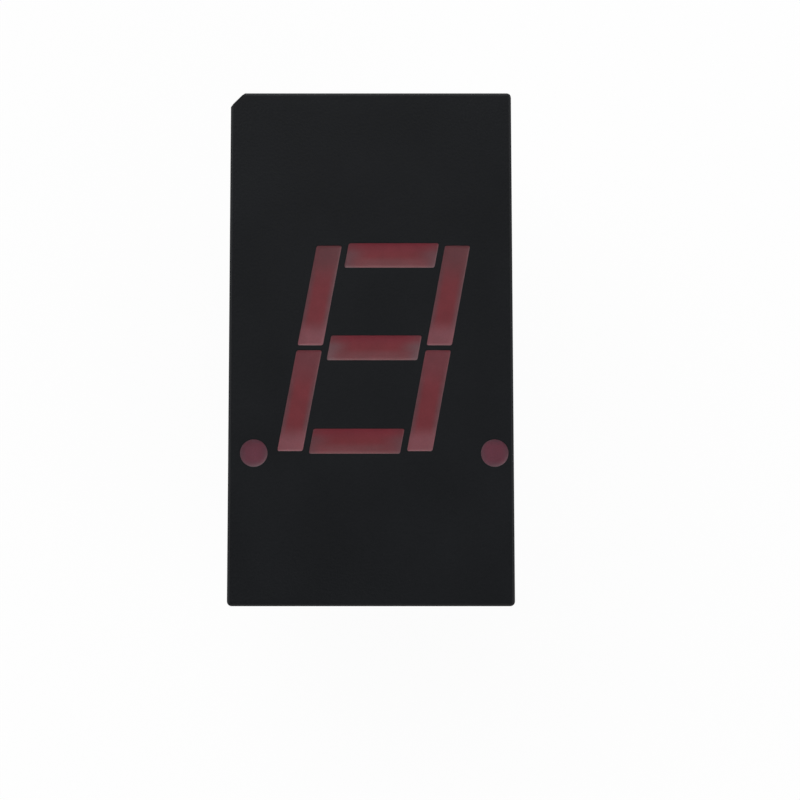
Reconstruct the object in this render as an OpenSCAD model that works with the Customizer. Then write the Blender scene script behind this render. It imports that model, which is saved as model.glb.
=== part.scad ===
// Seven segment display, one digit with a decimal point on each side, for through-hole boards.
// Origin: centre of the seating plane. +Z points out of the face, +Y is the top of the digit,
// and the pins run down along -Z.

/* [Housing] */
// Width of the housing, along X
body_w = 10.45; // [9.4:0.05:13]
// Length of the housing, along Y
body_l = 19.0; // [17.4:0.1:26]
// Height from the seating plane to the face
body_h = 6.4; // [5.6:0.1:9]
// Thickness of the walls round the board and the potting
wall_t = 0.55; // [0.4:0.05:0.6]
// Radius of the four upright corners
corner_r = 0.18; // [0.05:0.01:0.4]
// Flat on the corner that marks pin 1
pin_one_flat = 0.52; // [0.2:0.02:0.6]
// Bevel round the face
face_bevel = 0.1; // [0.05:0.01:0.2]
// Height of the four corner feet
foot_h = 0.35; // [0.2:0.05:0.5]
// Length of each foot along both walls
foot_l = 1.6; // [1:0.1:2.5]

/* [Digit] */
// Slant of the digit, in degrees
slant = 10.6; // [0:0.2:12]
// Centre of the digit and of the pair of decimal points, along X
digit_x = 0.12; // [-0.2:0.02:0.2]
// Centre of the digit, along Y
digit_y = -0.08; // [-0.6:0.02:0.6]
// Height of the digit, over the outer edges of its top and bottom bars
digit_h = 7.78; // [7.2:0.02:8.4]
// How far the top and bottom bars stand past the ends of the upright bars
bar_step = 0.09; // [0:0.01:0.3]
// Distance from the middle of the upright bars to the side of the housing, before the shift
column_inset = 2.855; // [2.7:0.005:3.1]
// Width of every bar
bar_w = 0.91; // [0.7:0.01:1.1]
// Gap between an upper and a lower upright bar
middle_gap = 0.18; // [0.1:0.01:0.4]
// Gap between the end of a level bar and the upright bars
side_gap = 0.24; // [0.12:0.01:0.4]
// Radius of the bars' corners
bar_corner_r = 0.07; // [0.03:0.01:0.15]
// How much shorter a light pipe is at the board, at each end
pipe_end_inset = 0.5; // [0:0.05:0.8]
// How much narrower a light pipe is at the board, on each side
pipe_side_inset = 0.1; // [0:0.01:0.15]
// Depth of the light pipes below the face
pipe_recess = 0.03; // [0.01:0.01:0.08]

/* [Decimal points] */
// Radius of a decimal point at the face
point_r = 0.5; // [0.35:0.01:0.55]
// Distance from the centre of a decimal point to the side of the housing, before the shift
point_inset = 0.825; // [0.75:0.005:0.9]
// Centre of both decimal points, along Y
point_y = -3.95; // [-4.1:0.05:-3.9]
// How far the chamber under a point lies towards the digit
chamber_shift = 0.22; // [0.15:0.01:0.3]
// Width of the chamber under a point
chamber_w = 0.76; // [0.6:0.02:0.8]
// Length of the chamber under a point
chamber_l = 0.84; // [0.8:0.02:0.9]
// Height of the chamber under a point
chamber_h = 1.3; // [1:0.1:2]

/* [Board] */
// Distance from the seating plane to the underside of the board
board_z = 1.9; // [1.6:0.1:2.4]
// Thickness of the board
board_t = 0.8; // [0.6:0.1:1]
// Clearance between the board's edge and the walls
board_gap = 0.05; // [0.02:0.01:0.1]
// Thickness of the copper, which lies flush in the board
copper_t = 0.04; // [0.03:0.01:0.07]
// Width of the tracks
track_w = 0.25; // [0.15:0.01:0.35]
// Radius of the land round a pin
land_r = 0.48; // [0.42:0.01:0.55]
// Radius of the plated holes under the chips
via_r = 0.12; // [0.08:0.01:0.15]
// Height of the potting's underside above the seating plane
potting_z = 0.5; // [0.4:0.05:1]

/* [Chips] */
// Side of a light emitting chip
chip_w = 0.3; // [0.2:0.01:0.34]
// Height of a light emitting chip
chip_h = 0.25; // [0.15:0.01:0.35]
// Side of the pad under a chip
chip_pad_w = 0.44; // [0.42:0.01:0.5]
// Side of the pad that a bond wire lands on
bond_pad_w = 0.26; // [0.2:0.01:0.28]
// Distance from a chip to its bond pad
bond_span = 0.46; // [0.42:0.01:0.5]
// Radius of a bond wire
wire_r = 0.02; // [0.015:0.001:0.025]

/* [Pins] */
// Distance between pins in a row
pin_pitch = 2.54; // [2.5:0.01:2.54]
// Distance from the middle of a row to the side of the housing, which sets the rows 7.62 apart
row_inset = 1.415; // [1.3:0.005:1.6]
// Radius of a pin
pin_r = 0.25; // [0.2:0.01:0.28]
// Length of a pin below the seating plane
pin_l = 4.1; // [2.5:0.1:6]
// Height of a pin above the board
pin_head = 0.3; // [0.2:0.05:0.4]
// Length of the bevel at a pin's tip
pin_tip = 0.2; // [0.1:0.02:0.4]
// Radius of a pin's shoulder, which spaces the board from the seating plane
shoulder_r = 0.45; // [0.42:0.01:0.5]
// Clearance between a pin and its hole, filled with solder
solder_gap = 0.06; // [0.04:0.01:0.08]
// Clearance above and round a solder joint
joint_gap = 0.1; // [0.05:0.01:0.15]

/* [Hidden] */
$fn = 48;

// How far a cutting shape runs past the surface that it cuts
past = 0.2;

// Levels
board_top = board_z + board_t;
pipe_top = body_h - pipe_recess;
pocket_depth = pin_head + joint_gap;

// Inside of the walls
inner_w = body_w - 2 * wall_t;
inner_l = body_l - 2 * wall_t;

// Distances across, from the side of the housing
column_pitch = body_w - 2 * column_inset;
left_point_x = digit_x - (body_w / 2 - point_inset);
right_point_x = digit_x + (body_w / 2 - point_inset);
row_pitch = body_w - 2 * row_inset;

// Names of the nine lights, in the order of every list below
LIGHTS = ["a", "b", "c", "d", "e", "f", "g", "left", "right"];
BARS = 7;

// Bars, measured before the digit is slanted: [middle x, middle y, width, height]
upright_w = bar_w / cos(slant);
upright_h = digit_h / 2 - bar_step - middle_gap / 2;
upright_y = middle_gap / 2 + upright_h / 2;
column_x = column_pitch / 2;
level_y = digit_h / 2 - bar_w / 2;
level_w = column_pitch - upright_w - 2 * side_gap;
bars = [
    [0, level_y, level_w, bar_w],
    [column_x, upright_y, upright_w, upright_h],
    [column_x, -upright_y, upright_w, upright_h],
    [0, -level_y, level_w, bar_w],
    [-column_x, -upright_y, upright_w, upright_h],
    [-column_x, upright_y, upright_w, upright_h],
    [0, 0, level_w, bar_w]
];

// Moves a place on the upright digit to its place on the slanted one
function slanted(p) = [digit_x + p.x + tan(slant) * p.y, digit_y + p.y];

// Middles of the nine light pipes at the board
function chamber_x(x) = x - sign(x) * chamber_shift;
light_places = concat(
    [for (bar = bars) slanted(bar)],
    [[chamber_x(left_point_x), point_y], [chamber_x(right_point_x), point_y]]
);

// Direction from each chip to its bond pad
bond_angles = [180, 90, -90, 0, -90, 90, 0, -90, -90];

// A chip and its bond pad share the middle of their light pipe
function turned(angle, distance) = distance * [cos(angle), sin(angle)];
function chip_place(i) = light_places[i] - turned(bond_angles[i], bond_span / 2);
function bond_place(i) = light_places[i] + turned(bond_angles[i], bond_span / 2);

// Pins count down the left row and up the right row, seven places each
PLACES = 7;
PIN_NUMBERS = [1, 2, 3, 6, 7, 8, 9, 10, 11, 13, 14];
function pin_side(n) = n <= PLACES ? -1 : 1;
function pin_step(n) = n <= PLACES ? n - 1 : 2 * PLACES - n;
function pin_place(n) = [
    pin_side(n) * row_pitch / 2,
    ((PLACES - 1) / 2 - pin_step(n)) * pin_pitch
];

// Pin of each light's cathode, and the two pins of the common anode
CATHODE_PINS = [1, 13, 10, 8, 7, 2, 11, 6, 9];
ANODE_PINS = [3, 14];

// Anode tracks, each between the chips of two lights
ANODE_LINKS = [[0, 5], [0, 1], [1, 2], [2, 6], [5, 4], [4, 3], [4, 7], [8, 2]];
// Light whose chip is nearest each anode pin
ANODE_ENTRIES = [5, 0];

hole_r = pin_r + solder_gap;
pocket_r = land_r + joint_gap;

// Outline of a bar at a level, as points with rounded corners
CORNER_STEPS = 4;
CORNERS = [[1, 1, 0], [-1, 1, 90], [-1, -1, 180], [1, -1, 270]];
function bar_outline(bar, z) =
    let (down = (body_h - z) / (body_h - board_top))
    let (level = bar[2] > bar[3])
    let (half_w = bar[2] / 2 - down * (level ? pipe_end_inset : pipe_side_inset))
    let (half_h = bar[3] / 2 - down * (level ? pipe_side_inset : pipe_end_inset))
    [for (c = CORNERS) for (k = [0:CORNER_STEPS])
        let (angle = c[2] + 90 * k / CORNER_STEPS)
        let (x = c[0] * (half_w - bar_corner_r) + bar_corner_r * cos(angle))
        let (y = c[1] * (half_h - bar_corner_r) + bar_corner_r * sin(angle))
        slanted([bar[0] + x, bar[1] + y])];

// Solid between a bar's outlines at two levels
module bar_solid(bar, low, high) {
    bottom = bar_outline(bar, low);
    top = bar_outline(bar, high);
    count = len(bottom);
    sides = [for (i = [0:count - 1]) for (half = [0, 1])
        let (next = (i + 1) % count)
        half == 0 ? [i, count + i, next] : [next, count + i, count + next]];
    polyhedron(
        points = concat(
            [for (p = bottom) [p.x, p.y, low]],
            [for (p = top) [p.x, p.y, high]]
        ),
        faces = concat(
            sides,
            [[for (i = [0:count - 1]) i]],
            [[for (i = [count - 1:-1:0]) count + i]]
        )
    );
}

// Space of a light pipe, run past its level ends so that it cuts cleanly
module light_space(i) {
    if (i < BARS)
        bar_solid(bars[i], board_top - past, body_h + past);
    else
        point_space(i == BARS ? left_point_x : right_point_x);
}

// A round well from the face into a chamber that leans towards the digit
module point_space(x) {
    well_z = board_top + chamber_h - past;
    translate([x, point_y, well_z])
        cylinder(r = point_r, h = body_h + past - well_z);
    translate([chamber_x(x) - chamber_w / 2, point_y - chamber_l / 2, board_top - past])
        cube([chamber_w, chamber_l, chamber_h + past]);
}

// Outline of the housing: round corners, and a flat on the corner of pin 1
module body_outline() {
    difference() {
        union() {
            square([body_w - 2 * corner_r, body_l], center = true);
            square([body_w, body_l - 2 * corner_r], center = true);
            for (x = [-1, 1], y = [-1, 1])
                translate([x * (body_w / 2 - corner_r), y * (body_l / 2 - corner_r)])
                    circle(r = corner_r);
        }
        translate([-body_w / 2, body_l / 2])
            rotate(45)
                square(pin_one_flat * sqrt(2), center = true);
    }
}

// Side view of the housing across a width, with its bevelled face, as long as asked
module bevelled_bar(width, length) {
    half = width / 2;
    rotate([90, 0, 0])
        linear_extrude(height = length, center = true)
            polygon([
                [-half, 0], [half, 0], [half, body_h - face_bevel],
                [half - face_bevel, body_h], [face_bevel - half, body_h],
                [-half, body_h - face_bevel]
            ]);
}

module body_block() {
    intersection() {
        linear_extrude(height = body_h)
            body_outline();
        bevelled_bar(body_w, body_l + past);
        rotate(90)
            bevelled_bar(body_l, body_w + past);
    }
}

// Gaps between the feet, through all four walls
module foot_gaps() {
    for (size = [[body_w - 2 * foot_l, body_l + past], [body_w + past, body_l - 2 * foot_l]])
        translate([-size.x / 2, -size.y / 2, -past])
            cube([size.x, size.y, foot_h + past]);
}

module housing() {
    color("#212224")
        difference() {
            body_block();
            translate([-inner_w / 2, -inner_l / 2, -past])
                cube([inner_w, inner_l, board_top + past]);
            foot_gaps();
            for (i = [0:len(LIGHTS) - 1])
                light_space(i);
            for (n = PIN_NUMBERS)
                translate(concat(pin_place(n), board_top - past))
                    cylinder(r = pocket_r, h = pocket_depth + past);
        }
}

// Cast epoxy that fills one light space, round the chip and its wire
module light_pipe(i) {
    color("#73383c")
        difference() {
            intersection() {
                light_space(i);
                translate([-body_w / 2, -body_l / 2, board_top])
                    cube([body_w, body_l, pipe_top - board_top]);
            }
            chip(i);
            bond_wire(i);
        }
}

module chip(i) {
    color("#a8743a")
        translate(concat(chip_place(i), board_top + chip_h / 2))
            cube([chip_w, chip_w, chip_h], center = true);
}

// Half loop from the top of the chip, and a straight leg down to the bond pad
module bond_wire(i) {
    color("gold")
        translate(concat(chip_place(i), board_top))
            rotate(bond_angles[i]) {
                translate([bond_span / 2, 0, chip_h])
                    rotate([90, 0, 0])
                        rotate_extrude(angle = 180)
                            translate([bond_span / 2, 0])
                                circle(r = wire_r);
                translate([bond_span, 0, 0])
                    cylinder(r = wire_r, h = chip_h);
            }
}

// Straight piece of track with round ends
module track_piece(from, to) {
    run = to - from;
    translate(from)
        rotate(atan2(run.y, run.x))
            translate([0, -track_w / 2])
                square([norm(run), track_w]);
    for (end = [from, to])
        translate(end)
            circle(r = track_w / 2);
}

// Track that leaves one place along an axis and reaches the other at 45 degrees
module track(from, to) {
    run = to - from;
    slope = min(abs(run.x), abs(run.y));
    elbow = to - slope * [sign(run.x), sign(run.y)];
    track_piece(from, elbow);
    track_piece(elbow, to);
}

module land(n) {
    translate(pin_place(n))
        difference() {
            circle(r = land_r);
            circle(r = hole_r);
        }
}

// A cathode's bond pad, its track and its pin's land
module cathode(i) {
    pin = CATHODE_PINS[i];
    difference() {
        union() {
            translate(bond_place(i))
                square(bond_pad_w, center = true);
            track(bond_place(i), pin_place(pin));
            translate(pin_place(pin))
                circle(r = land_r);
        }
        translate(pin_place(pin))
            circle(r = hole_r);
    }
}

module front_copper() {
    color("#b87333")
        translate([0, 0, board_top - copper_t])
            linear_extrude(height = copper_t) {
                for (i = [0:len(LIGHTS) - 1]) {
                    cathode(i);
                    translate(chip_place(i))
                        square(chip_pad_w, center = true);
                }
                for (n = ANODE_PINS)
                    land(n);
            }
}

// The common anode: tracks on the back, and a plated hole up to each chip pad
module back_copper() {
    color("#b87333") {
        translate([0, 0, board_z])
            linear_extrude(height = copper_t)
                difference() {
                    union() {
                        for (link = ANODE_LINKS)
                            track(chip_place(link[0]), chip_place(link[1]));
                        for (k = [0, 1]) {
                            track(pin_place(ANODE_PINS[k]), chip_place(ANODE_ENTRIES[k]));
                            translate(pin_place(ANODE_PINS[k]))
                                circle(r = land_r);
                        }
                    }
                    for (n = ANODE_PINS)
                        translate(pin_place(n))
                            circle(r = hole_r);
                }
        for (i = [0:len(LIGHTS) - 1])
            translate(concat(chip_place(i), board_z))
                cylinder(r = via_r, h = board_t - copper_t);
    }
}

module circuit_board() {
    color("#c8b878")
        difference() {
            translate([-inner_w / 2 + board_gap, -inner_l / 2 + board_gap, board_z])
                cube([inner_w - 2 * board_gap, inner_l - 2 * board_gap, board_t]);
            for (n = PIN_NUMBERS)
                translate(concat(pin_place(n), board_z - past))
                    cylinder(r = hole_r, h = board_t + 2 * past);
            front_copper();
            back_copper();
        }
}

module pin(n) {
    color("silver")
        translate(concat(pin_place(n), -pin_l)) {
            cylinder(r1 = pin_r / 2, r2 = pin_r, h = pin_tip);
            translate([0, 0, pin_tip])
                cylinder(r = pin_r, h = pin_l - pin_tip);
            translate([0, 0, pin_l])
                cylinder(r = shoulder_r, h = board_z);
            translate([0, 0, pin_l + board_z])
                cylinder(r = pin_r, h = board_t + pin_head);
        }
}

// Solder in each hole, and a cone of it round the pin's head
module solder_joints() {
    color("lightgray")
        for (n = PIN_NUMBERS)
            translate(concat(pin_place(n), board_z))
                difference() {
                    union() {
                        cylinder(r = hole_r, h = board_t);
                        translate([0, 0, board_t])
                            cylinder(r1 = land_r, r2 = hole_r, h = pin_head);
                    }
                    translate([0, 0, -past])
                        cylinder(r = pin_r, h = board_t + pin_head + 2 * past);
                }
}

module potting() {
    color("#3a2426")
        difference() {
            translate([-inner_w / 2, -inner_l / 2, potting_z])
                cube([inner_w, inner_l, board_z - potting_z]);
            for (n = PIN_NUMBERS)
                pin(n);
        }
}

housing();
light_pipe(0);  // segment_a
light_pipe(1);  // segment_b
light_pipe(2);  // segment_c
light_pipe(3);  // segment_d
light_pipe(4);  // segment_e
light_pipe(5);  // segment_f
light_pipe(6);  // segment_g
light_pipe(7);  // decimal_point_left
light_pipe(8);  // decimal_point_right
circuit_board();
front_copper();
back_copper();
chip(0);  // chip_a
chip(1);  // chip_b
chip(2);  // chip_c
chip(3);  // chip_d
chip(4);  // chip_e
chip(5);  // chip_f
chip(6);  // chip_g
chip(7);  // chip_left
chip(8);  // chip_right
bond_wire(0);  // bond_wire_a
bond_wire(1);  // bond_wire_b
bond_wire(2);  // bond_wire_c
bond_wire(3);  // bond_wire_d
bond_wire(4);  // bond_wire_e
bond_wire(5);  // bond_wire_f
bond_wire(6);  // bond_wire_g
bond_wire(7);  // bond_wire_left
bond_wire(8);  // bond_wire_right
solder_joints();
potting();
pin(1);  // pin_1
pin(2);  // pin_2
pin(3);  // pin_3
pin(6);  // pin_6
pin(7);  // pin_7
pin(8);  // pin_8
pin(9);  // pin_9
pin(10);  // pin_10
pin(11);  // pin_11
pin(13);  // pin_13
pin(14);  // pin_14
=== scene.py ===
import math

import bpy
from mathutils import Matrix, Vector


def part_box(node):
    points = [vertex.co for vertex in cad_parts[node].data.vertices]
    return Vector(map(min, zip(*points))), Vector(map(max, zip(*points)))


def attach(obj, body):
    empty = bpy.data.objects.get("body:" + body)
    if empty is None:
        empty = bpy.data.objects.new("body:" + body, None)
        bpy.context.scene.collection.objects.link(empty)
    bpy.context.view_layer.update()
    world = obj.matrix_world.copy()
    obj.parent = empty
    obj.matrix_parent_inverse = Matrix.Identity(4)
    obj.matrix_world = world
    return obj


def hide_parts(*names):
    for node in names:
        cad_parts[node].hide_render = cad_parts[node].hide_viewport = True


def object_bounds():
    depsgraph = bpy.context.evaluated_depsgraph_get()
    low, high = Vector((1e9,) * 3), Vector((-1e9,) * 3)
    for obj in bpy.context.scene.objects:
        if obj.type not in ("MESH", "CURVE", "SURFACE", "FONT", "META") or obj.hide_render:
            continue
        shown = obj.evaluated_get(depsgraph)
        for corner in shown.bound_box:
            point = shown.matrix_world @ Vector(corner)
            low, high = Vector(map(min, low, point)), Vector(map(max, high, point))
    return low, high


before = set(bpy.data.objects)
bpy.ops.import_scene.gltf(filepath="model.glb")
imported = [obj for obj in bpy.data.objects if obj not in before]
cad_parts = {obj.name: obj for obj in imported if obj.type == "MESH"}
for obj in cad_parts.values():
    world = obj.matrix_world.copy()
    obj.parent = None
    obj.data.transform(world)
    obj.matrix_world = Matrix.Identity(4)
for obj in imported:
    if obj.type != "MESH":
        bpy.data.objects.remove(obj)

# Looks of a seven segment display: a moulded black housing, red epoxy light pipes, tinned pins
# and the epoxy that closes its back. All lengths are in metres, and MM turns millimetres to them.

MM = 0.001
CAD_LOW, CAD_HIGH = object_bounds()

# Names of the points beside the seven bars, of the pins in use, and of the nine lights
POINTS = ["decimal_point_left", "decimal_point_right"]
PIN_NUMBERS = [1, 2, 3, 6, 7, 8, 9, 10, 11, 13, 14]
LIGHTS = ["a", "b", "c", "d", "e", "f", "g", "left", "right"]

# Slant of the digit, which each upright bar shows as its lean
SLANT = math.radians(10.6)

# Edges: where two faces of the model meet at more than SHARP, the real edge is a little round
SHARP = math.radians(35)
HOUSING_EDGE = 0.025 * MM
PIN_EDGE = 0.03 * MM

# Meshes: faces within FLAT of each other become one, and so do points within WELD. A face whose
# normal is past LEVEL along Z is level. ENLARGED is the scale at which small faces are shaded,
# and a power of two, so that no length is rounded.
FLAT = math.radians(0.5)
WELD = 0.0005 * MM
LEVEL = 0.99
ENLARGED = 1024

# Meniscus: cast epoxy climbs RISE up a wall, and levels out over about REACH
PIPE_RISE = 0.022 * MM
PIPE_REACH = 0.07 * MM
PIPE_RINGS = [0.03 * MM, 0.045 * MM, 0.06 * MM, 0.1 * MM]
POTTING_RISE = 0.16 * MM
POTTING_REACH = 0.07 * MM
POTTING_RINGS = [0.03 * MM, 0.04 * MM, 0.05 * MM, 0.05 * MM]
# Radius of the bars' corners: past it, an inset corner has closed to one point
BAR_CORNER = 0.07 * MM

# Looks of the light pipes' epoxy, with light and shade painted into their colours. Light from
# above lands on the lower wall of each pipe, so all have painted light at the foot, and painted
# shade at the head, under the upper wall. Each rim is greyer: partly the pipe's walls seen
# through the epoxy, partly painted light and shade, so that the level bars are paler at both
# ends. The points are more purple.
# A span is where a colour starts and where it is full, as shares of the way from the middle to
# that edge. rim_over_head and rim_over_foot are how far the rim shows over those.
RIM_SPAN = (0.45, 1.05)
# In each look, head is painted shade, foot is painted light, and rim is partly the walls seen
# through the epoxy and partly painted light and shade
UPPER_LOOK = {
    "core": "#6b282f", "rim": "#5b353b", "head": "#5b3035", "foot": "#76444b",
    "head_span": (0.1, 0.85), "foot_span": (0.45, 0.8),
    "rim_over_head": 0.0, "rim_over_foot": 0.0,
}
LOWER_LOOK = dict(UPPER_LOOK, head="#663138")
BOTTOM_LOOK = {
    "core": "#6b272e", "rim": "#5c353b", "head": "#6a242e", "foot": "#6b373c",
    "head_span": (0.1, 0.7), "foot_span": (0.0, 0.55),
    "rim_over_head": 0.4, "rim_over_foot": 1.0,
}
TOP_LOOK = dict(BOTTOM_LOOK, rim="#5e3b41")
MIDDLE_LOOK = dict(BOTTOM_LOOK, rim="#64464b")
POINT_LOOK = {
    "core": "#5c2d3a", "rim": "#53323c", "head": "#53323c", "foot": "#53323c",
    "head_span": RIM_SPAN, "foot_span": RIM_SPAN,
    "rim_over_head": 0.0, "rim_over_foot": 0.0,
}
BAR_LOOKS = {
    "segment_a": TOP_LOOK, "segment_b": UPPER_LOOK, "segment_c": LOWER_LOOK,
    "segment_d": BOTTOM_LOOK, "segment_e": LOWER_LOOK, "segment_f": UPPER_LOOK,
    "segment_g": MIDDLE_LOOK,
}


# ---------------------------------------------------------------- shader nodes

# Most of a noise texture's pattern lies between these two
NOISE_LOW = 0.3
NOISE_HIGH = 0.7


def colour(hex_value):
    """A colour socket's value from an sRGB hex value such as "#1b1c1e"."""
    def linear(share):
        return share / 12.92 if share <= 0.04045 else ((share + 0.055) / 1.055) ** 2.4
    return [linear(int(hex_value[i:i + 2], 16) / 255) for i in (1, 3, 5)] + [1]


def add(tree, kind, inputs=None, **settings):
    """Adds a node with its settings. Each input is a value, or another node's socket to link."""
    node = tree.nodes.new("ShaderNode" + kind)
    for name, value in settings.items():
        setattr(node, name, value)
    for name, value in (inputs or {}).items():
        if isinstance(value, bpy.types.NodeSocket):
            tree.links.new(value, node.inputs[name])
        else:
            node.inputs[name].default_value = value
    return node


def new_material(name):
    """An empty node material and its tree."""
    material = bpy.data.materials.new(name)
    material.use_nodes = True
    material.node_tree.nodes.clear()
    return material, material.node_tree


def finish_material(tree, inputs):
    """Ends a material in one Principled shader."""
    shader = add(tree, "BsdfPrincipled", inputs)
    add(tree, "OutputMaterial", {"Surface": shader.outputs["BSDF"]})


# ---------------------------------------------------------------- materials

def black_plastic():
    """Matt black PPO, moulded in a spark-eroded mould: fine even grain, and a dull, dark sheen."""
    material, tree = new_material("black_moulded_plastic")
    place = add(tree, "TexCoord").outputs["Object"]
    grain_size = 0.09 * MM  # craters of the eroded mould, drawn about twice their size to show
    cloud_size = 3.0 * MM   # slow change of colour, where the melt filled the mould
    grain = add(tree, "TexNoise", {"Vector": place, "Scale": 1 / grain_size, "Detail": 2.0})
    cloud = add(tree, "TexNoise", {"Vector": place, "Scale": 1 / cloud_size, "Detail": 3.0})
    tone = add(tree, "MapRange", {
        "Value": cloud.outputs["Fac"], "From Min": NOISE_LOW, "From Max": NOISE_HIGH,
    })
    shade = add(tree, "Mix", {
        "Factor": tone.outputs["Result"], "A": colour("#0f1114"), "B": colour("#131518"),
    }, data_type="RGBA")
    rough = add(tree, "MapRange", {
        "Value": grain.outputs["Fac"], "From Min": NOISE_LOW, "From Max": NOISE_HIGH,
        "To Min": 0.44, "To Max": 0.56,
    })
    bump = add(tree, "Bump", {
        "Height": grain.outputs["Fac"], "Strength": 0.35, "Distance": 0.02 * MM,
    })
    finish_material(tree, {
        "Base Color": shade.outputs["Result"],
        "Roughness": rough.outputs["Result"],
        "Specular IOR Level": 0.15,
        "IOR": 1.5,
        "Normal": bump.outputs["Normal"],
    })
    return material


def red_epoxy(name, centre, half, lean, look):
    """Red epoxy with white diffuser, cast in a light pipe: satin, cloudy, greyer towards its ends.

    centre and half give the middle and half size of its face along X and Y, and lean its slant.
    look gives its colours: core in the middle, rim at its sides, partly the walls seen through
    the epoxy and partly painted light and shade, and head and foot at its upper and lower end,
    with painted shade at the head and painted light at the foot.
    """
    material, tree = new_material(name)
    place = add(tree, "TexCoord").outputs["Object"]
    speck_size = 0.06 * MM  # grains of diffuser, drawn about twice their size to show
    cloud_size = 0.5 * MM   # where the diffuser has settled unevenly

    # Shares of the way from the middle to the edge, along X and along Y, on the leaning face
    axes = add(tree, "SeparateXYZ", {"Vector": place})
    down = add(tree, "Math", {0: axes.outputs["Y"], 1: centre.y}, operation="SUBTRACT")
    shift = add(tree, "Math", {
        0: down.outputs["Value"], 1: math.tan(lean), 2: centre.x,
    }, operation="MULTIPLY_ADD")
    across = add(tree, "Math", {
        0: axes.outputs["X"], 1: shift.outputs["Value"],
    }, operation="SUBTRACT")
    share_x = add(tree, "Math", {0: across.outputs["Value"], 1: half.x}, operation="DIVIDE")
    share_y = add(tree, "Math", {0: down.outputs["Value"], 1: half.y}, operation="DIVIDE")
    far_x = add(tree, "Math", {0: share_x.outputs["Value"]}, operation="ABSOLUTE")
    # Towards the rim: the pipe's walls seen through the epoxy, with painted light and shade
    to_rim = add(tree, "MapRange", {
        "Value": far_x.outputs["Value"], "From Min": RIM_SPAN[0], "From Max": RIM_SPAN[1],
    }, interpolation_type="SMOOTHSTEP")
    # Painted shade towards the head, and painted light towards the foot
    painted_shade_at_head = add(tree, "MapRange", {
        "Value": share_y.outputs["Value"],
        "From Min": look["head_span"][0], "From Max": look["head_span"][1],
    }, interpolation_type="SMOOTHSTEP")
    painted_light_at_foot = add(tree, "MapRange", {
        "Value": share_y.outputs["Value"],
        "From Min": -look["foot_span"][0], "From Max": -look["foot_span"][1],
    }, interpolation_type="SMOOTHSTEP")

    cloud = add(tree, "TexNoise", {"Vector": place, "Scale": 1 / cloud_size, "Detail": 3.0})
    speck = add(tree, "TexNoise", {"Vector": place, "Scale": 1 / speck_size, "Detail": 1.0})
    blend = add(tree, "Mix", {
        "Factor": to_rim.outputs["Result"], "A": colour(look["core"]), "B": colour(look["rim"]),
    }, data_type="RGBA")
    # Paints the shade at the head and the light at the foot over the core and rim colours
    for share, end in ((painted_shade_at_head, "head"), (painted_light_at_foot, "foot")):
        free = add(tree, "Math", {
            0: to_rim.outputs["Result"], 1: -look["rim_over_" + end], 2: 1.0,
        }, operation="MULTIPLY_ADD")
        cover = add(tree, "Math", {
            0: share.outputs["Result"], 1: free.outputs["Value"],
        }, operation="MULTIPLY")
        blend = add(tree, "Mix", {
            "Factor": cover.outputs["Value"],
            "A": blend.outputs["Result"], "B": colour(look[end]),
        }, data_type="RGBA")
    cloudy = add(tree, "MapRange", {
        "Value": cloud.outputs["Fac"], "From Min": NOISE_LOW, "From Max": NOISE_HIGH,
        "To Min": 0.92, "To Max": 1.08,
    })
    specked = add(tree, "MapRange", {
        "Value": speck.outputs["Fac"], "From Min": NOISE_LOW, "From Max": NOISE_HIGH,
        "To Min": 0.95, "To Max": 1.05,
    })
    level = add(tree, "Math", {
        0: cloudy.outputs["Result"], 1: specked.outputs["Result"],
    }, operation="MULTIPLY")
    shade = add(tree, "VectorMath", {
        0: blend.outputs["Result"], "Scale": level.outputs["Value"],
    }, operation="SCALE")
    bump = add(tree, "Bump", {
        "Height": speck.outputs["Fac"], "Strength": 0.12, "Distance": 0.01 * MM,
    })
    finish_material(tree, {
        "Base Color": shade.outputs["Vector"],
        "Roughness": 0.36,
        "IOR": 1.54,
        "Specular IOR Level": 0.4,
        "Subsurface Weight": 0.15,
        "Subsurface Radius": (0.3, 0.06, 0.06),
        "Subsurface Scale": 0.4 * MM,
        "Normal": bump.outputs["Normal"],
    })
    return material


def potting_epoxy():
    """Dark red epoxy, poured from behind and self-levelled: glossy, with faint waves and pits."""
    material, tree = new_material("poured_potting_epoxy")
    place = add(tree, "TexCoord").outputs["Object"]
    cloud_size = 1.6 * MM
    wave_size = 2.4 * MM
    bubble_gap = 1.1 * MM    # distance between burst bubbles
    bubble_size = 0.09 * MM  # radius of a pit
    floor_size = 0.036 * MM  # radius of the flat in its middle
    cloud = add(tree, "TexNoise", {"Vector": place, "Scale": 1 / cloud_size, "Detail": 4.0})
    wave = add(tree, "TexNoise", {"Vector": place, "Scale": 1 / wave_size, "Detail": 1.0})
    bubble = add(tree, "TexVoronoi", {"Vector": place, "Scale": 1 / bubble_gap})
    pit = add(tree, "MapRange", {
        "Value": bubble.outputs["Distance"],
        "From Min": floor_size / bubble_gap, "From Max": bubble_size / bubble_gap,
    }, interpolation_type="SMOOTHSTEP")
    tone = add(tree, "MapRange", {
        "Value": cloud.outputs["Fac"], "From Min": NOISE_LOW, "From Max": NOISE_HIGH,
    })
    shade = add(tree, "Mix", {
        "Factor": tone.outputs["Result"], "A": colour("#3a2022"), "B": colour("#472a2b"),
    }, data_type="RGBA")
    waves = add(tree, "Bump", {
        "Height": wave.outputs["Fac"], "Strength": 0.3, "Distance": 0.1 * MM,
    })
    pits = add(tree, "Bump", {
        "Height": pit.outputs["Result"], "Strength": 0.8, "Distance": 0.04 * MM,
        "Normal": waves.outputs["Normal"],
    })
    finish_material(tree, {
        "Base Color": shade.outputs["Result"],
        "Roughness": 0.22,
        "IOR": 1.54,
        "Specular IOR Level": 0.5,
        "Normal": pits.outputs["Normal"],
    })
    return material


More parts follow.
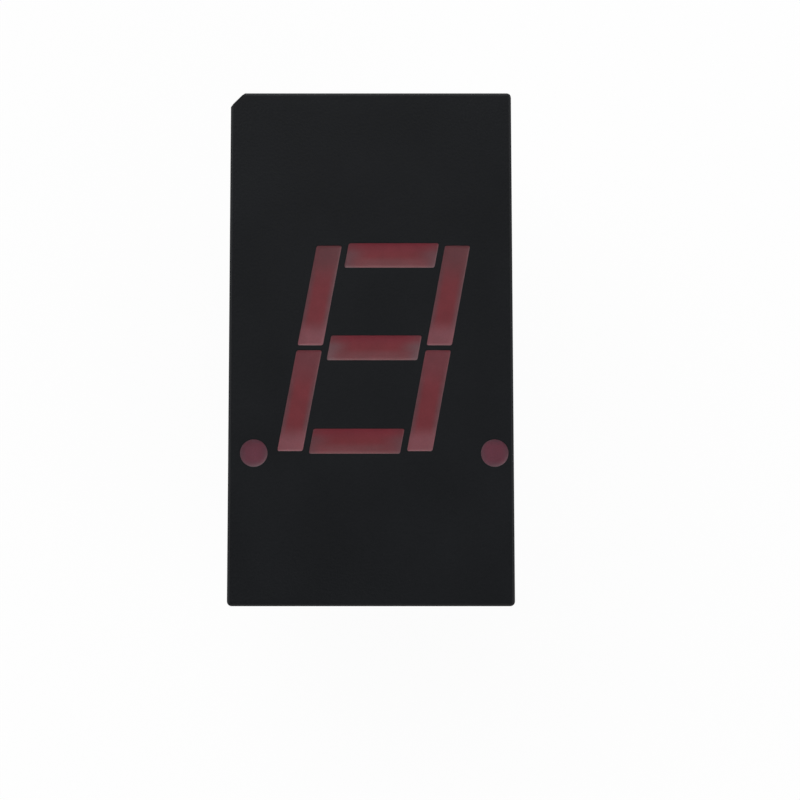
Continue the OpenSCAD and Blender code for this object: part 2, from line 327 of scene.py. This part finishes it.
def tinned_pin():
    """Copper wire, drawn and hot-dipped in tin: satin silver, streaked finely along its length."""
    material, tree = new_material("tinned_copper_wire")
    place = add(tree, "TexCoord").outputs["Object"]
    streak_width = 0.05 * MM   # lines of the drawing die, drawn about twice as wide to show
    streak_length = 3.0 * MM
    frost_size = 0.12 * MM     # crystals of the frozen tin
    streaks = add(tree, "Mapping", {
        "Vector": place, "Scale": (1 / streak_width, 1 / streak_width, 1 / streak_length),
    })
    streak = add(tree, "TexNoise", {
        "Vector": streaks.outputs["Vector"], "Scale": 1.0, "Detail": 2.0,
    })
    frost = add(tree, "TexNoise", {"Vector": place, "Scale": 1 / frost_size, "Detail": 3.0})
    both = add(tree, "Mix", {
        "Factor": 0.35, "A": streak.outputs["Fac"], "B": frost.outputs["Fac"],
    })
    tone = add(tree, "MapRange", {
        "Value": both.outputs["Result"], "From Min": 0.35, "From Max": 0.65,
    })
    shade = add(tree, "Mix", {
        "Factor": tone.outputs["Result"], "A": colour("#b2b1b0"), "B": colour("#d3d1ce"),
    }, data_type="RGBA")
    rough = add(tree, "MapRange", {
        "Value": frost.outputs["Fac"], "From Min": NOISE_LOW, "From Max": NOISE_HIGH,
        "To Min": 0.2, "To Max": 0.34,
    })
    bump = add(tree, "Bump", {
        "Height": both.outputs["Result"], "Strength": 0.3, "Distance": 0.008 * MM,
    })
    finish_material(tree, {
        "Base Color": shade.outputs["Result"],
        "Metallic": 1.0,
        "Roughness": rough.outputs["Result"],
        "Normal": bump.outputs["Normal"],
    })
    return material


def board_laminate():
    """Glass epoxy laminate: pale tan, with the weave of its glass cloth just showing."""
    material, tree = new_material("glass_epoxy_laminate")
    place = add(tree, "TexCoord").outputs["Object"]
    thread = 0.45 * MM  # distance between the threads of the cloth
    axes = add(tree, "SeparateXYZ", {"Vector": place})
    waves = []
    for axis in ("X", "Y"):
        turn = add(tree, "Math", {0: axes.outputs[axis], 1: 2 * math.pi / thread},
                   operation="MULTIPLY")
        waves.append(add(tree, "Math", {0: turn.outputs["Value"]}, operation="SINE"))
    weave = add(tree, "Math", {
        0: waves[0].outputs["Value"], 1: waves[1].outputs["Value"],
    }, operation="MULTIPLY")
    tone = add(tree, "MapRange", {"Value": weave.outputs["Value"], "From Min": -1.0})
    shade = add(tree, "Mix", {
        "Factor": tone.outputs["Result"], "A": colour("#b8a564"), "B": colour("#c8b878"),
    }, data_type="RGBA")
    bump = add(tree, "Bump", {
        "Height": weave.outputs["Value"], "Strength": 0.2, "Distance": 0.01 * MM,
    })
    finish_material(tree, {
        "Base Color": shade.outputs["Result"],
        "Roughness": 0.4,
        "IOR": 1.55,
        "Normal": bump.outputs["Normal"],
    })
    return material


def metal(name, bright, dull, grain_size, smooth, rough):
    """A bare metal that goes from bright and smooth to dull and rough over grain_size."""
    material, tree = new_material(name)
    place = add(tree, "TexCoord").outputs["Object"]
    grain = add(tree, "TexNoise", {"Vector": place, "Scale": 1 / grain_size, "Detail": 3.0})
    grain_depth = grain_size / 20
    tone = add(tree, "MapRange", {
        "Value": grain.outputs["Fac"], "From Min": NOISE_LOW, "From Max": NOISE_HIGH,
    })
    shade = add(tree, "Mix", {
        "Factor": tone.outputs["Result"], "A": colour(bright), "B": colour(dull),
    }, data_type="RGBA")
    gloss = add(tree, "MapRange", {
        "Value": grain.outputs["Fac"], "From Min": NOISE_LOW, "From Max": NOISE_HIGH,
        "To Min": smooth, "To Max": rough,
    })
    bump = add(tree, "Bump", {
        "Height": grain.outputs["Fac"], "Strength": 0.2, "Distance": grain_depth,
    })
    finish_material(tree, {
        "Base Color": shade.outputs["Result"],
        "Metallic": 1.0,
        "Roughness": gloss.outputs["Result"],
        "Normal": bump.outputs["Normal"],
    })
    return material


def chip_crystal():
    """Gallium arsenide phosphide chip, sawn from a wafer: dark brown, with fine saw lines."""
    material, tree = new_material("sawn_crystal_chip")
    place = add(tree, "TexCoord").outputs["Object"]
    line_gap = 0.02 * MM
    line_length = 0.4 * MM
    lines = add(tree, "Mapping", {
        "Vector": place, "Scale": (1 / line_length, 1 / line_length, 1 / line_gap),
    })
    saw = add(tree, "TexNoise", {"Vector": lines.outputs["Vector"], "Scale": 1.0, "Detail": 2.0})
    shade = add(tree, "Mix", {
        "Factor": saw.outputs["Fac"], "A": colour("#5a3a22"), "B": colour("#9a6a3c"),
    }, data_type="RGBA")
    bump = add(tree, "Bump", {
        "Height": saw.outputs["Fac"], "Strength": 0.3, "Distance": 0.002 * MM,
    })
    finish_material(tree, {
        "Base Color": shade.outputs["Result"],
        "Roughness": 0.35,
        "IOR": 2.4,
        "Normal": bump.outputs["Normal"],
    })
    return material


# ---------------------------------------------------------------- pieces

def select_only(piece):
    """Makes one object the only selected and the active one."""
    bpy.ops.object.select_all(action="DESELECT")
    piece.select_set(True)
    bpy.context.view_layer.objects.active = piece


def merged_copy(node, name, material):
    """A closed, merged copy of a CAD node's mesh, which then stands for the node."""
    piece = bpy.data.objects.new(name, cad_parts[node].data.copy())
    bpy.context.collection.objects.link(piece)
    select_only(piece)
    bpy.ops.mesh.customdata_custom_splitnormals_clear()
    bpy.ops.object.mode_set(mode="EDIT")
    bpy.ops.mesh.select_mode(type="FACE")
    bpy.ops.mesh.select_all(action="SELECT")
    bpy.ops.mesh.remove_doubles(threshold=WELD)
    bpy.ops.mesh.mark_sharp(clear=True)
    bpy.ops.mesh.dissolve_limited(angle_limit=FLAT)
    bpy.ops.mesh.select_all(action="DESELECT")
    bpy.ops.object.mode_set(mode="OBJECT")
    piece.data.materials.clear()
    piece.data.materials.append(material)
    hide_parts(node)
    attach(piece, "root")
    return piece


def select_level_faces(piece, height, upwards):
    """Selects the level faces of a piece that lie at a height and face up or down."""
    for face in piece.data.polygons:
        level = face.normal.z > LEVEL if upwards else face.normal.z < -LEVEL
        face.select = level and abs(face.center.z - height) < WELD


def round_edges(piece, width):
    """Gives each sharp edge a small round, and leaves the flat faces flat."""
    select_only(piece)
    bevel = piece.modifiers.new("round_edges", "BEVEL")
    bevel.width = width
    bevel.segments = 2
    bevel.limit_method = "ANGLE"
    bevel.angle_limit = SHARP
    bevel.use_clamp_overlap = False
    bpy.ops.object.modifier_apply(modifier=bevel.name)
    shade_smooth(piece)


def shade_smooth(piece):
    """Smooth shading with sharp edges kept, and large faces kept flat.

    The modifier drops any face of less than a millionth of a square unit, so the piece is
    ENLARGED while it works.
    """
    select_only(piece)
    bpy.ops.object.shade_smooth_by_angle(angle=SHARP)
    scale_mesh(piece, ENLARGED)
    weights = piece.modifiers.new("flat_faces", "WEIGHTED_NORMAL")
    weights.keep_sharp = True
    bpy.ops.object.modifier_apply(modifier=weights.name)
    scale_mesh(piece, 1 / ENLARGED)


def scale_mesh(piece, factor):
    """Scales the mesh of the selected piece about the origin."""
    piece.scale = (factor, factor, factor)
    bpy.ops.object.transform_apply(location=False, rotation=False, scale=True)


def raise_meniscus(piece, height, upwards, rise, reach, rings):
    """Shapes a level epoxy face: up by rise where it wets a wall, and level again after reach.

    Each ring is an inset of the selected face. Its depth follows an exponential fall from the
    wall. Where a ring has closed a round corner to a point, the corner's points are merged.
    """
    select_level_faces(piece, height, upwards)
    select_only(piece)
    bpy.ops.object.mode_set(mode="EDIT")
    lift = rise if upwards else -rise
    bpy.ops.transform.translate(value=(0, 0, lift))
    distance = 0
    for ring in rings:
        fall = rise * (math.exp(-distance / reach) - math.exp(-(distance + ring) / reach))
        bpy.ops.mesh.inset(thickness=ring, depth=-fall)
        distance += ring
        if distance > BAR_CORNER:
            bpy.ops.mesh.remove_doubles(threshold=BAR_CORNER / 2)
    bpy.ops.object.mode_set(mode="OBJECT")
    shade_smooth(piece)


def bar_material(node):
    """The epoxy of one bar, whose colour changes towards the ends of its own leaning face."""
    low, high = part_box(node)
    lean_width = math.tan(SLANT) * (high.y - low.y)
    half = Vector(((high.x - low.x - lean_width) / 2, (high.y - low.y) / 2))
    return red_epoxy("cast_red_epoxy_" + node, (low + high) / 2, half, SLANT, BAR_LOOKS[node])


def point_material(node):
    """The epoxy of one decimal point."""
    low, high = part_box(node)
    radius = (high.y - low.y) / 2
    middle = Vector((0, (low.y + high.y) / 2))
    middle.x = low.x + radius if low.x < 0 else high.x - radius
    return red_epoxy("cast_red_epoxy_" + node, middle, Vector((radius, radius)), 0, POINT_LOOK)


def make_housing(material):
    """The housing, with the round edges of a moulding."""
    piece = merged_copy("housing", "moulded_housing", material)
    round_edges(piece, HOUSING_EDGE)


def make_lights():
    """Each light pipe's epoxy, with its meniscus at the face."""
    for node in list(BAR_LOOKS) + POINTS:
        material = point_material(node) if node in POINTS else bar_material(node)
        piece = merged_copy(node, node + "_epoxy", material)
        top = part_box(node)[1].z
        raise_meniscus(piece, top, True, PIPE_RISE, PIPE_REACH, PIPE_RINGS)


def make_potting(material):
    """The potting, whose meniscus climbs the walls and the pins towards the back."""
    piece = merged_copy("potting", "poured_potting", material)
    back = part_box("potting")[0].z
    raise_meniscus(piece, back, False, POTTING_RISE, POTTING_REACH, POTTING_RINGS)


def make_pins(material):
    """The pins, with round edges at the tip and the shoulder."""
    for number in PIN_NUMBERS:
        node = "pin_" + str(number)
        piece = merged_copy(node, "tinned_" + node, material)
        round_edges(piece, PIN_EDGE)


def paint_node(node, material):
    """Gives a CAD node that stays as it is its material."""
    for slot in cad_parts[node].material_slots:
        slot.material = material


def make_inside():
    """Materials of the pieces inside the housing."""
    copper = metal("etched_copper_foil", "#c98a5a", "#a86a3c", 0.2 * MM, 0.3, 0.45)
    gold = metal("drawn_gold_wire", "#f0c060", "#d8a84c", 0.1 * MM, 0.18, 0.28)
    solder = metal("tin_solder", "#c4c4c6", "#a4a4a8", 0.15 * MM, 0.22, 0.4)
    crystal = chip_crystal()
    paint_node("circuit_board", board_laminate())
    paint_node("front_copper", copper)
    paint_node("back_copper", copper)
    paint_node("solder_joints", solder)
    for light in LIGHTS:
        paint_node("chip_" + light, crystal)
        paint_node("bond_wire_" + light, gold)


# ---------------------------------------------------------------- studio

FLOOR_SIZE = 3.0
FLOOR_GLOW = 0.95  # share of the floor that shows plain white; the rest takes the shadow

# The lamp high over the top of the digit, and the weaker one over its foot. Places and size are
# in metres, and powers in watts.
KEY_PLACE = Vector((-0.30, 0.52, 0.44))
KEY_POWER = 4.0
FILL_PLACE = Vector((0.42, -0.44, 0.42))
FILL_POWER = 2.2
LAMP_SIZE = 0.9

# The white of the studio's walls, and the darker ceiling over them, which is darkest a little
# towards the foot of the digit. WALL_TOP and CEILING_EDGE are cosines from that darkest place.
WALL_GLOW = 1.0
CEILING_GLOW = 0.05
CEILING_LEAN = math.radians(25)
WALL_TOP = 0.25
CEILING_EDGE = 0.98

# The camera stands over the face, and leans towards the foot of the digit
VIEW_DISTANCE = 76 * MM
VIEW_TILT = math.radians(6.8)
LENS = 93.1
SENSOR = 36.0
SHIFT = (0.0363, -0.068)


def white_to_viewer(tree):
    """1 for what the viewer sees, straight or in a reflection or through glass, and 0 for light."""
    path = add(tree, "LightPath")
    seen = add(tree, "Math", {
        0: path.outputs["Is Camera Ray"], 1: path.outputs["Is Glossy Ray"],
    }, operation="MAXIMUM")
    through = add(tree, "Math", {
        0: seen.outputs["Value"], 1: path.outputs["Is Transmission Ray"],
    }, operation="MAXIMUM")
    return through.outputs["Value"]


def make_floor():
    """A plain white floor under the pins, which keeps a faint shadow."""
    bpy.ops.mesh.primitive_plane_add(size=FLOOR_SIZE, location=(0, 0, CAD_LOW.z))
    floor = bpy.context.object
    floor.name = "studio_floor"
    material, tree = new_material("white_floor")
    share = add(tree, "Math", {0: white_to_viewer(tree), 1: FLOOR_GLOW}, operation="MULTIPLY")
    paint = add(tree, "BsdfDiffuse", {"Color": colour("#f4f4f4")})
    glow = add(tree, "Emission", {"Color": colour("#ffffff"), "Strength": 1.0})
    both = add(tree, "MixShader", {
        0: share.outputs["Value"], 1: paint.outputs["BSDF"], 2: glow.outputs["Emission"],
    })
    add(tree, "OutputMaterial", {"Surface": both.outputs["Shader"]})
    floor.data.materials.append(material)


def make_world():
    """White walls all round, and a darker ceiling."""
    world = bpy.data.worlds.new("studio")
    bpy.context.scene.world = world
    world.use_nodes = True
    tree = world.node_tree
    tree.nodes.clear()
    place = add(tree, "TexCoord")
    darkest = (0, -math.sin(CEILING_LEAN), math.cos(CEILING_LEAN))
    nearness = add(tree, "VectorMath", {
        0: place.outputs["Generated"], 1: darkest,
    }, operation="DOT_PRODUCT")
    glow = add(tree, "MapRange", {
        "Value": nearness.outputs["Value"], "From Min": WALL_TOP, "From Max": CEILING_EDGE,
        "To Min": WALL_GLOW, "To Max": CEILING_GLOW,
    }, interpolation_type="SMOOTHSTEP")
    sky = add(tree, "Background", {
        "Color": colour("#ffffff"), "Strength": glow.outputs["Result"],
    })
    add(tree, "OutputWorld", {"Surface": sky.outputs["Background"]})


def make_lamp(name, place, power):
    """A square soft lamp that faces the display."""
    bpy.ops.object.light_add(type="AREA", location=place)
    lamp = bpy.context.object
    lamp.name = name
    lamp.rotation_euler = place.to_track_quat("Z", "Y").to_euler()
    lamp.data.size = LAMP_SIZE
    lamp.data.energy = power


def make_camera():
    """The camera over the face."""
    aim = Vector((0, 0, CAD_HIGH.z))
    back = Vector((0, -math.sin(VIEW_TILT), math.cos(VIEW_TILT)))
    bpy.ops.object.camera_add(location=aim + VIEW_DISTANCE * back, rotation=(VIEW_TILT, 0, 0))
    camera = bpy.context.object
    camera.data.lens = LENS
    camera.data.sensor_width = SENSOR
    camera.data.shift_x, camera.data.shift_y = SHIFT
    camera.data.clip_start = 1 * MM
    camera.data.clip_end = 10
    bpy.context.scene.camera = camera


make_housing(black_plastic())
make_lights()
make_potting(potting_epoxy())
make_pins(tinned_pin())
make_inside()
make_floor()
make_world()
make_lamp("key_lamp", KEY_PLACE, KEY_POWER)
make_lamp("fill_lamp", FILL_PLACE, FILL_POWER)
make_camera()
bpy.context.scene.view_settings.view_transform = "Standard"
